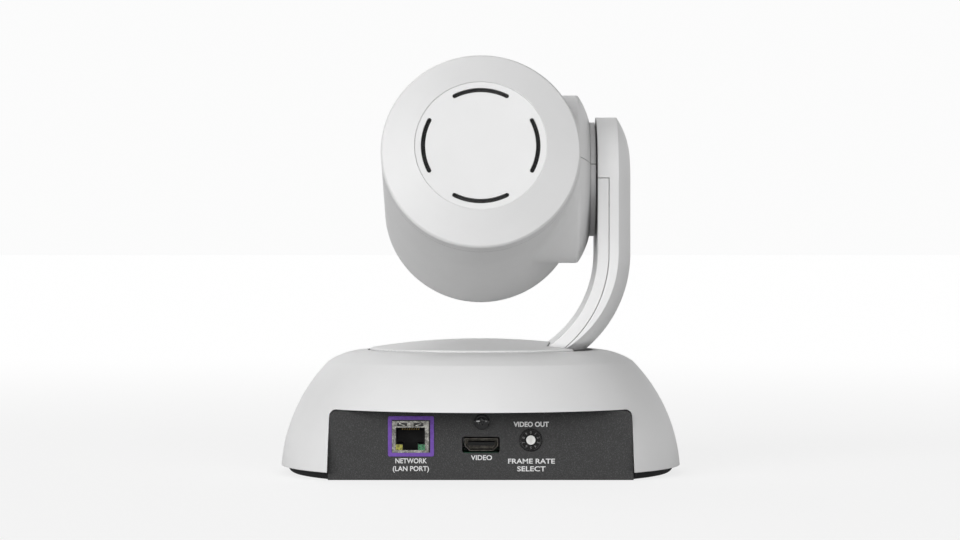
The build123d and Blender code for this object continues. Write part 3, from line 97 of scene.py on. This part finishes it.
def smooth_range(nodes, start, end, low, high):
    """A node that turns a value between start and end smoothly into one between low and high."""
    node = nodes.new("ShaderNodeMapRange")
    node.interpolation_type = "SMOOTHSTEP"
    node.inputs["From Min"].default_value = start
    node.inputs["From Max"].default_value = end
    node.inputs["To Min"].default_value = low
    node.inputs["To Max"].default_value = high
    return node


def mix_seen(nodes, links, seen, strength):
    """Feeds a light strength that is seen in full but lights the object only by CAST of it."""
    path = nodes.new("ShaderNodeLightPath")
    share = nodes.new("ShaderNodeMapRange")
    share.inputs["To Min"].default_value = CAST
    share.inputs["To Max"].default_value = 1.0
    product = nodes.new("ShaderNodeMath")
    product.operation = "MULTIPLY"
    links.new(path.outputs["Is Camera Ray"], share.inputs["Value"])
    links.new(share.outputs["Result"], product.inputs[0])
    links.new(seen, product.inputs[1])
    links.new(product.outputs["Value"], strength)


def make_stage():
    """A wide pale floor that glows a little, as a lit white table does, with a painted shadow near the
    object.
    """
    reach = FLOOR_REACH
    mesh = bpy.data.meshes.new("floor")
    corners = [(-reach, -reach, 0), (reach, -reach, 0), (reach, reach, 0), (-reach, reach, 0)]
    mesh.from_pydata(corners, [], [(0, 1, 2, 3)])
    floor = bpy.data.objects.new("floor", mesh)
    bpy.context.scene.collection.objects.link(floor)
    mat = bpy.data.materials.new("floor_pale")
    mat.use_nodes = True
    bsdf = mat.node_tree.nodes["Principled BSDF"]
    bsdf.inputs["Base Color"].default_value = (FLOOR_GREY, FLOOR_GREY, FLOOR_GREY, 1)
    bsdf.inputs["Roughness"].default_value = 0.9
    bsdf.inputs["Specular IOR Level"].default_value = 0.0
    bsdf.inputs["Emission Color"].default_value = (1, 1, 1, 1)
    nodes, links = mat.node_tree.nodes, mat.node_tree.links
    place = nodes.new("ShaderNodeNewGeometry")
    away = nodes.new("ShaderNodeVectorMath")
    away.operation = "LENGTH"
    # Painted shadow: the glow is dimmer near the pan axis than far from it.
    glow = smooth_range(nodes, GLOW_START, GLOW_END, GLOW_NEAR, GLOW_FAR)
    links.new(place.outputs["Position"], away.inputs[0])
    links.new(away.outputs["Value"], glow.inputs["Value"])
    mix_seen(nodes, links, glow.outputs["Result"], bsdf.inputs["Emission Strength"])
    floor.data.materials.append(mat)


def make_sky():
    """A white horizon that falls off to a dimmer ceiling."""
    world = bpy.data.worlds.new("studio")
    world.use_nodes = True
    nodes, links = world.node_tree.nodes, world.node_tree.links
    direction = nodes.new("ShaderNodeTexCoord")
    split = nodes.new("ShaderNodeSeparateXYZ")
    fall = smooth_range(nodes, FALL_START, FALL_END, HORIZON, CEILING)
    links.new(direction.outputs["Generated"], split.inputs["Vector"])
    links.new(split.outputs["Z"], fall.inputs["Value"])
    links.new(fall.outputs["Result"], nodes["Background"].inputs["Strength"])
    nodes["Background"].inputs["Color"].default_value = (1, 1, 1, 1)
    bpy.context.scene.world = world
    bpy.context.scene.view_settings.view_transform = "Standard"


make_camera()
make_stage()
make_sky()
for name, direction, strength in SUNS:
    make_light(name, direction, strength)


# ---------------------------------------------------------------- materials
class Finish:
    """A procedural material built up in steps on one Principled shader."""

    def __init__(self, name, color, roughness, metallic=0.0):
        self.mat = bpy.data.materials.new(name)
        self.mat.use_nodes = True
        self.nodes = self.mat.node_tree.nodes
        self.links = self.mat.node_tree.links
        self.bsdf = self.nodes["Principled BSDF"]
        self.color = color
        self.bsdf.inputs["Base Color"].default_value = (*color, 1)
        self.bsdf.inputs["Roughness"].default_value = roughness
        self.bsdf.inputs["Metallic"].default_value = metallic
        self.roughness = roughness
        self.coords = self.nodes.new("ShaderNodeTexCoord")
        self.last_normal = None

    def noise(self, scale, detail=2.0, rough=0.5, stretch=(1, 1, 1)):
        """Noise in the object's own metres; scale is features per metre."""
        mapping = self.nodes.new("ShaderNodeMapping")
        mapping.inputs["Scale"].default_value = stretch
        self.links.new(self.coords.outputs["Object"], mapping.inputs["Vector"])
        node = self.nodes.new("ShaderNodeTexNoise")
        node.inputs["Scale"].default_value = scale
        node.inputs["Detail"].default_value = detail
        node.inputs["Roughness"].default_value = rough
        self.links.new(mapping.outputs["Vector"], node.inputs["Vector"])
        return node.outputs["Fac"]

    def ramp(self, fac, low, high, color_low, color_high):
        """A two-stop ramp from one colour to another."""
        node = self.nodes.new("ShaderNodeValToRGB")
        node.color_ramp.elements[0].position = low
        node.color_ramp.elements[0].color = (*color_low, 1)
        node.color_ramp.elements[1].position = high
        node.color_ramp.elements[1].color = (*color_high, 1)
        self.links.new(fac, node.inputs["Fac"])
        return node.outputs["Color"]

    def mottle(self, scale, amount, low=0.35, high=0.65):
        """Slight lightness variation of the base colour."""
        dark = [c * (1 - amount) for c in self.color]
        light = [min(1.0, c * (1 + amount)) for c in self.color]
        out = self.ramp(self.noise(scale), low, high, dark, light)
        self.links.new(out, self.bsdf.inputs["Base Color"])
        return self

    def speckle(self, scale, color, low=0.52, high=0.66):
        """Small lighter flecks over the base colour."""
        out = self.ramp(self.noise(scale, 3.0, 0.7), low, high, self.color, color)
        self.links.new(out, self.bsdf.inputs["Base Color"])
        return self

    def gloss_change(self, scale, spread, stretch=(1, 1, 1)):
        """Roughness that wanders by spread about its middle value."""
        node = self.nodes.new("ShaderNodeMapRange")
        node.inputs["To Min"].default_value = max(0.02, self.roughness - spread)
        node.inputs["To Max"].default_value = min(1.0, self.roughness + spread)
        self.links.new(self.noise(scale, 3.0, 0.6, stretch), node.inputs["Value"])
        self.links.new(node.outputs["Result"], self.bsdf.inputs["Roughness"])
        return self

    def grain(self, scale, depth, strength=0.5, stretch=(1, 1, 1)):
        """A bump of the given depth in metres."""
        bump = self.nodes.new("ShaderNodeBump")
        bump.inputs["Strength"].default_value = strength
        bump.inputs["Distance"].default_value = depth
        self.links.new(self.noise(scale, 3.0, 0.6, stretch), bump.inputs["Height"])
        if self.last_normal is not None:
            self.links.new(self.last_normal, bump.inputs["Normal"])
        self.last_normal = bump.outputs["Normal"]
        self.links.new(self.last_normal, self.bsdf.inputs["Normal"])
        return self

    def soft_edges(self, radius):
        """Rounds the look of every sharp edge by radius in metres; comes before any grain."""
        bevel = self.nodes.new("ShaderNodeBevel")
        bevel.samples = 6
        bevel.inputs["Radius"].default_value = radius
        self.last_normal = bevel.outputs["Normal"]
        self.links.new(self.last_normal, self.bsdf.inputs["Normal"])
        return self

    def shaded_creases(self, reach, depth):
        """Paints shade into the base colour in gaps and creases narrower than reach, in metres."""
        near = self.nodes.new("ShaderNodeAmbientOcclusion")
        near.samples = 8
        near.inputs["Distance"].default_value = reach
        shade = self.nodes.new("ShaderNodeMapRange")
        shade.inputs["From Min"].default_value = 0.15
        shade.inputs["From Max"].default_value = 0.75
        shade.inputs["To Min"].default_value = 1.0 - depth
        mix = self.nodes.new("ShaderNodeMix")
        mix.data_type = "RGBA"
        mix.blend_type = "MULTIPLY"
        mix.inputs["Factor"].default_value = 1.0
        source = self.bsdf.inputs["Base Color"].links[0].from_socket
        self.links.new(near.outputs["AO"], shade.inputs["Value"])
        self.links.new(source, mix.inputs["A"])
        self.links.new(shade.outputs["Result"], mix.inputs["B"])
        self.links.new(mix.outputs["Result"], self.bsdf.inputs["Base Color"])
        return self

    def set(self, **values):
        """Sets uniform shader sockets by name, with underscores for spaces."""
        for key, value in values.items():
            self.bsdf.inputs[key.replace("_", " ")].default_value = value
        return self


finishes = {}


def finish(name, color, roughness, metallic=0.0):
    """Starts the material of one slot; the steps that follow build its look."""
    finishes[name] = Finish(name, color, roughness, metallic)
    return finishes[name]


# A step's first number is its noise scale, in features per metre; reach, radius and depth of a
# bump are in metres.
# white_shell carries painted shade in its gaps, creases and parting lines, from shaded_creases.
(finish("white_shell", (0.77, 0.77, 0.77), roughness=0.42)
 .mottle(40, amount=0.012).shaded_creases(reach=0.006, depth=0.80).gloss_change(300, spread=0.05)
 .soft_edges(radius=0.0006).grain(3200, depth=0.00006, strength=0.30))
(finish("hub_grey", (0.20, 0.20, 0.205), roughness=0.5)
 .mottle(120, amount=0.05).grain(2600, depth=0.00005, strength=0.4))
(finish("tray_black", (0.012, 0.012, 0.013), roughness=0.7)
 .mottle(200, amount=0.15).grain(2200, depth=0.00008, strength=0.6).set(Specular_IOR_Level=0.25))
# panel_coat carries painted shade in its gaps and creases, from shaded_creases.
(finish("panel_coat", (0.016, 0.016, 0.016), roughness=0.55)
 .speckle(2300, color=(0.062, 0.062, 0.064)).shaded_creases(reach=0.003, depth=0.85)
 .gloss_change(900, spread=0.12).grain(1500, depth=0.00012, strength=0.8))
(finish("port_purple", (0.16, 0.075, 0.37), roughness=0.6)
 .mottle(900, amount=0.08).grain(3000, depth=0.00003).set(Specular_IOR_Level=0.2))
# connector_steel carries painted shade in its creases, from shaded_creases.
(finish("connector_steel", (0.36, 0.355, 0.33), roughness=0.26, metallic=1.0)
 .mottle(700, amount=0.45).shaded_creases(reach=0.0012, depth=0.6)
 .gloss_change(700, spread=0.08, stretch=(1, 0.1, 1))
 .grain(2500, depth=0.00003, strength=0.4, stretch=(1, 0.1, 1)))
# socket_steel colours the video socket's nickel shell near black: painted shade, as the shell lies in
# shadow.
(finish("socket_steel", (0.085, 0.080, 0.070), roughness=0.30, metallic=1.0)
 .mottle(900, amount=0.50).gloss_change(600, spread=0.10))
(finish("socket_black", (0.006, 0.006, 0.006), roughness=0.45)
 .mottle(500, amount=0.2).grain(3000, depth=0.00003).set(Specular_IOR_Level=0.2))
finish("contact_gold", (0.20, 0.14, 0.05), roughness=0.40, metallic=1.0).mottle(900, amount=0.08)
finish("lamp_green", (0.035, 0.17, 0.075), roughness=0.30).mottle(1100, amount=0.6).set(Coat_Weight=0.6)
finish("lamp_yellow", (0.26, 0.25, 0.035), roughness=0.30).mottle(1100, amount=0.6).set(Coat_Weight=0.6)
(finish("dial_white", (0.80, 0.80, 0.78), roughness=0.4)
 .mottle(700, amount=0.03).grain(3000, depth=0.00003))
(finish("screw_black", (0.012, 0.012, 0.013), roughness=0.12)
 .mottle(900, amount=0.25).gloss_change(900, spread=0.05).set(Coat_Weight=0.8))
(finish("screw_zinc", (0.62, 0.63, 0.65), roughness=0.3, metallic=1.0)
 .mottle(700, amount=0.08).gloss_change(900, spread=0.08))
(finish("rubber", (0.022, 0.022, 0.022), roughness=0.85)
 .mottle(400, amount=0.2).grain(1800, depth=0.00008, strength=0.7))
(finish("smoked_plastic", (0.012, 0.006, 0.008), roughness=0.08)
 .mottle(100, amount=0.2).set(Coat_Weight=0.5))
(finish("lens_black", (0.010, 0.010, 0.011), roughness=0.6)
 .mottle(300, amount=0.2).grain(2200, depth=0.00005))
(finish("vent_cloth", (0.030, 0.030, 0.030), roughness=0.9)
 .mottle(1500, amount=0.5).grain(1600, depth=0.0002, strength=0.9))
(finish("optical_glass", (0.93, 0.96, 0.98), roughness=0.03)
 .gloss_change(60, spread=0.01).set(Transmission_Weight=0.92, IOR=1.5))
(finish("board_green", (0.012, 0.11, 0.05), roughness=0.3)
 .mottle(300, amount=0.35).grain(1200, depth=0.00004))
(finish("cast_aluminium", (0.66, 0.66, 0.67), roughness=0.45, metallic=1.0)
 .mottle(300, amount=0.06).gloss_change(800, spread=0.12).grain(1800, depth=0.00006, strength=0.6))
finish("heatsink_aluminium", (0.05, 0.05, 0.055), roughness=0.4, metallic=0.8).mottle(300, amount=0.15)
(finish("steel", (0.58, 0.58, 0.59), roughness=0.28, metallic=1.0)
 .mottle(300, amount=0.05).gloss_change(900, spread=0.08))
finish("motor_case", (0.06, 0.06, 0.065), roughness=0.35, metallic=0.7).mottle(300, amount=0.2)
(finish("brass", (0.76, 0.56, 0.26), roughness=0.3, metallic=1.0)
 .mottle(300, amount=0.08).gloss_change(700, spread=0.1))
(finish("gear_nylon", (0.80, 0.78, 0.68), roughness=0.5)
 .mottle(300, amount=0.03).grain(2000, depth=0.00004))
(finish("dial_ring", (0.005, 0.005, 0.005), roughness=0.35)
 .mottle(900, amount=0.3).grain(3000, depth=0.00003))
finish("dial_ink", (0.16, 0.16, 0.16), roughness=0.6).mottle(900, amount=0.15)
finish("print_white", (0.70, 0.70, 0.70), roughness=0.6).mottle(900, amount=0.08)

slot_of = {row["node"]: row["material_slot"] for row in frame["record"]["subparts"]}
for node, obj in frame["nodes"].items():
    for place in obj.material_slots:
        place.material = finishes[slot_of[node]].mat

# ---------------------------------------------------------------- shapes on the connector panel
# Places are (u, z) in millimetres, and u points away from +X.
PANEL_Y = 56.0 * MM
JACK = (-30.7, 19.0)
DIAL = (21.9, 17.6)
BED = 0.02                     # millimetres by which a shape starts clear of the panel


def facing_rear(u, y, z, turn=0.0):
    """Matrix that lays local x toward -X, local y up and local z toward +Y, at u and z in millimetres."""
    turned = Matrix.Rotation(turn, 4, "Z")
    basis = Matrix(((-1, 0, 0, -u * MM), (0, 0, 1, y), (0, 1, 0, z * MM), (0, 0, 0, 1)))
    return basis @ turned


def add_piece(name, mesh, finish, body="base"):
    """Puts a new mesh in the scene as a piece that rides on a body."""
    piece = bpy.data.objects.new(name, mesh)
    bpy.context.scene.collection.objects.link(piece)
    mesh.materials.append(finishes[finish].mat)
    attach(piece, body)
    return piece


def lofted(name, rings, place, around=False, smooth=True):
    """A closed mesh through rings of points, (x, y, z) in millimetres.

    Its two ends are capped, or else, with around set, the last ring joins the first.
    """
    mesh = bpy.data.meshes.new(name)
    bm = bmesh.new()
    loops = [[bm.verts.new(place @ (Vector(p) * MM)) for p in ring] for ring in rings]
    count = len(loops[0])
    for low, high in zip(loops, loops[1:] + loops[:1] if around else loops[1:]):
        for k in range(count):
            bm.faces.new((low[k], low[(k + 1) % count], high[(k + 1) % count], high[k]))
    if not around:
        bm.faces.new(list(reversed(loops[0])))
        bm.faces.new(loops[-1])
    bmesh.ops.recalc_face_normals(bm, faces=bm.faces)
    for face in bm.faces:
        face.smooth = smooth and len(face.verts) == 4
    bm.to_mesh(mesh)
    bm.free()
    return mesh


def circle_ring(radius, height, count=64, teeth=0, depth=0.0):
    """Points round a circle, wavy by depth where it has teeth."""
    points = []
    for k in range(count):
        angle = 2 * math.pi * k / count
        r = radius - depth * (0.5 + 0.5 * math.cos(teeth * angle)) if teeth else radius
        points.append((r * math.cos(angle), r * math.sin(angle), height))
    return points


def cut_by(mesh, cutter_mesh):
    """The mesh with the cutter's volume removed."""
    body = bpy.data.objects.new("cut_body", mesh)
    cutter = bpy.data.objects.new("cut_tool", cutter_mesh)
    for obj in (body, cutter):
        bpy.context.scene.collection.objects.link(obj)
    cut = body.modifiers.new("cut", "BOOLEAN")
    cut.operation = "DIFFERENCE"
    cut.solver = "EXACT"
    cut.object = cutter
    shaped = body.evaluated_get(bpy.context.evaluated_depsgraph_get())
    result = bpy.data.meshes.new_from_object(shaped)
    for obj in (body, cutter):
        bpy.data.objects.remove(obj)
    result.name = mesh.name + "_cut"
    return result


def rounded_rectangle(width, height, radius, z, steps=4):
    """Points round a rectangle with rounded corners, centred on the local origin."""
    points = []
    for k, (sx, sy) in enumerate(((1, 1), (-1, 1), (-1, -1), (1, -1))):
        for step in range(steps + 1):
            angle = math.pi / 2 * (k + step / steps)
            x = sx * (width / 2 - radius) + radius * math.cos(angle)
            y = sy * (height / 2 - radius) + radius * math.sin(angle)
            points.append((x, y, z))
    return points


# ---------------------------------------------------------------- printed marks
INK_LIFT = 0.03 * MM
INK_DEPTH = 0.004              # of a letter's size
CAPITAL = 0.70                 # height of a capital as a share of the font's size
LABEL_CAP = 2.1                # height of the labels' capitals
LABELS = [                     # name, words, u, z, width, weight
    ("label_network", "NETWORK", -30.5, 8.4, 13.8, 0.07),
    ("label_network_note", "(LAN PORT)", -30.5, 5.0, 15.8, 0.07),
    ("label_video", "VIDEO", 0.4, 9.8, 9.2, 0.06),
    ("label_output", "VIDEO OUT", 22.1, 24.35, 15.4, 0.13),
    ("label_rate", "FRAME RATE", 22.1, 8.25, 20.4, 0.06),
    ("label_select", "SELECT", 22.1, 4.9, 12.4, 0.06),
]
NUMBERS = 10                   # round the dial
NUMBER_RING = 3.35
NUMBER_CAP = 1.15
DIAL_FACE_Y = PANEL_Y + 0.4 * MM


def print_text(name, words, u, z, cap_height, weight, width=None, y=PANEL_Y, turn=0.0,
               ink="print_white"):
    """Raised ink lettering, centred, with its capitals cap_height millimetres tall."""
    curve = bpy.data.curves.new(name, "FONT")
    curve.body = words
    curve.align_x = "CENTER"
    curve.align_y = "CENTER"
    curve.size = 1.0
    curve.offset = weight * 0.25
    curve.extrude = INK_DEPTH
    curve.resolution_u = 4
    text = bpy.data.objects.new(name, curve)
    bpy.context.scene.collection.objects.link(text)
    bpy.context.view_layer.update()
    stretch_y = cap_height * MM / CAPITAL
    stretch_x = width * MM / text.dimensions.x if width else stretch_y
    place = facing_rear(u, y + INK_LIFT, z, turn)
    text.matrix_world = place @ Matrix.Diagonal((stretch_x, stretch_y, stretch_y, 1.0))
    curve.materials.append(finishes[ink].mat)
    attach(text, "base")
    return text


for name, words, u, z, width, weight in LABELS:
    print_text(name, words, u, z, LABEL_CAP, weight, width)

for digit in range(NUMBERS):
    angle = math.radians(90 - 360 / NUMBERS * digit)
    u = DIAL[0] + NUMBER_RING * math.cos(angle)
    z = DIAL[1] + NUMBER_RING * math.sin(angle)
    print_text(f"dial_number_{digit}", str(digit), u, z, NUMBER_CAP, 0.05, y=DIAL_FACE_Y,
               turn=angle - math.pi / 2, ink="dial_ink")

# ---------------------------------------------------------------- guard ring round the rotary switch
RING_TEETH = 30
TOOTH_DEPTH = 0.28
RING_PROFILE = [               # radius, height, whether that line carries the teeth
    (4.15, BED, False),
    (5.0, BED, False),
    (5.05, 0.4, True),
    (4.85, 0.85, True),
    (4.45, 1.0, False),
    (4.15, 0.8, False),
]
RING_POINTS = 240

guard = [circle_ring(radius, height, RING_POINTS, RING_TEETH if toothed else 0, TOOTH_DEPTH)
         for radius, height, toothed in RING_PROFILE]
add_piece("switch_guard_ring",
          lofted("switch_guard_ring", guard, facing_rear(DIAL[0], PANEL_Y, DIAL[1]), around=True),
          "dial_ring")

# ---------------------------------------------------------------- domed heads over the panel's screws
SCREWS = [(0.5, 25.5), (29.0, 31.6), (-29.0, 31.6)]
HEAD_R = 3.42
HEAD_FOOT_R = 3.38
HEAD_RIM = 0.35                # height of the rim below the dome
HEAD_RISE = 1.75
DOME_RINGS = 7
DOME_STEP = 12                 # degrees between the dome's rings
FIRST_TURN = 20                # degrees; each head is turned differently, as after tightening
TURN_STEP = 35

for number, (u, z) in enumerate(SCREWS):
    place = facing_rear(u, PANEL_Y, z, math.radians(FIRST_TURN + TURN_STEP * number))
    dome = [circle_ring(HEAD_FOOT_R, BED)]
    for step in range(DOME_RINGS):
        lift = math.radians(DOME_STEP + DOME_STEP * step)
        dome.append(circle_ring(HEAD_R * math.cos(lift), HEAD_RIM + HEAD_RISE * math.sin(lift)))
    head = lofted(f"screw_head_{number}", dome, place)
    for turn in (0.0, math.pi / 2):
        recess_place = place @ Matrix.Rotation(turn, 4, "Z")
        recess = [rounded_rectangle(2.0, 0.45, 0.15, 0.9), rounded_rectangle(3.9, 0.95, 0.2, 3.0)]
        head = cut_by(head, lofted("recess", recess, recess_place))
    add_piece(f"screw_head_{number}", head, "screw_black")

# ---------------------------------------------------------------- painted shadow rim and tabs of the network jack
SHADOW_RIM_OUTER = (17.2, 14.8)
SHADOW_RIM_INNER = (16.05, 13.85)
SHADOW_RIM_TOP = 0.16
OUTER_CORNER = 0.3
INNER_CORNER = 0.15
TAB_CORNER = 0.2
TAB_ASIDE = 3.6                # of the jack's middle
TAB_ABOVE = 5.35
TAB_LEAN = 24                  # degrees
SHIELD_Y = PANEL_Y + 0.7 * MM
SLOT_RINGS = [(4.3, 1.5, 0.01), (4.2, 1.4, 0.05)]     # width, height, lift
TAB_RINGS = [(2.9, 0.75, 0.03), (2.8, 0.65, 0.25), (1.8, 0.45, 0.38)]


def tab_mesh(name, rings, place):
    """A small plate with rounded corners through rings of (width, height, lift)."""
    return lofted(name, [rounded_rectangle(w, h, TAB_CORNER, lift) for w, h, lift in rings], place)


# Painted shade: a flat black rim round the jack, where the gap by its shield lies in shade.
shadow_rim = [rounded_rectangle(*SHADOW_RIM_INNER, INNER_CORNER, BED),
          rounded_rectangle(*SHADOW_RIM_OUTER, OUTER_CORNER, BED),
          rounded_rectangle(*SHADOW_RIM_OUTER, OUTER_CORNER, SHADOW_RIM_TOP),
          rounded_rectangle(*SHADOW_RIM_INNER, INNER_CORNER, SHADOW_RIM_TOP)]
add_piece("jack_shadow_rim",
          lofted("jack_shadow_rim", shadow_rim, facing_rear(JACK[0], PANEL_Y, JACK[1]),
                 around=True, smooth=False),
          "dial_ring")
for name, side in (("left", -1), ("right", 1)):
    place = facing_rear(JACK[0] + side * TAB_ASIDE, SHIELD_Y, JACK[1] + TAB_ABOVE)
    lean = Matrix.Rotation(side * math.radians(TAB_LEAN), 4, "Z")
    add_piece(f"jack_spring_slot_{name}", tab_mesh("spring_slot", SLOT_RINGS, place),
              "dial_ring")
    add_piece(f"jack_spring_{name}", tab_mesh("spring_tab", TAB_RINGS, place @ lean),
              "connector_steel")
